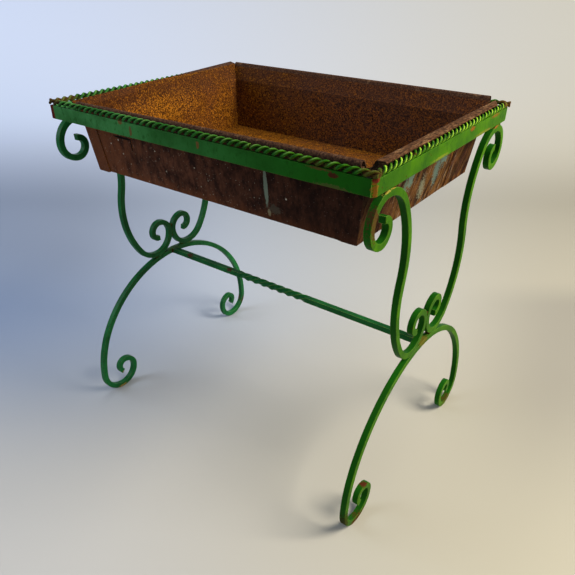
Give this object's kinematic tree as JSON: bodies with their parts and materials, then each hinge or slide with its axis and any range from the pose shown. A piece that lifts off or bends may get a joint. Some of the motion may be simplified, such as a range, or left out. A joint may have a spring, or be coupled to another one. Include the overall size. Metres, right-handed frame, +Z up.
{
  "type": "raised planter on legs",
  "caption": "Wrought-iron plant stand with scroll legs and a twisted stretcher, holding a lift-out sheet-metal trough.",
  "frame": {"origin": "on the floor under the middle of the stand", "axes": "+X along the length, -Y the front long side, +Z up"},
  "size_m": [0.706, 0.5352, 0.7266],
  "materials": {
    "green_paint": "old satin paint, chipped and rusting at the welds",
    "rusty_sheet": "matte, rusted through old dark paint"
  },
  "bodies": {
    "stand": {"rim_front": "green_paint", "rim_back": "green_paint", "rim_left": "green_paint", "rim_right": "green_paint", "rim_corner_welds": "green_paint", "rope_front_left": "green_paint", "rope_front_right": "green_paint", "rope_back": "green_paint", "rope_left": "green_paint", "rope_right": "green_paint", "arch_left": "green_paint", "arch_right": "green_paint", "scroll_front_left": "green_paint", "scroll_back_left": "green_paint", "scroll_front_right": "green_paint", "scroll_back_right": "green_paint", "scroll_arch_welds": "green_paint", "curl_welds": "green_paint", "scroll_rim_welds": "green_paint", "stretcher": "green_paint", "stretcher_welds": "green_paint"},
    "pan": {"pan_trough": "rusty_sheet", "pan_end_left": "rusty_sheet", "pan_end_right": "rusty_sheet"}
  },
  "joints": [
    {"name": "pan_lift", "type": "slide", "parent": "stand", "child": "pan", "axis": [0, 0, 1], "range_m": [0, 0.18]}
  ]
}
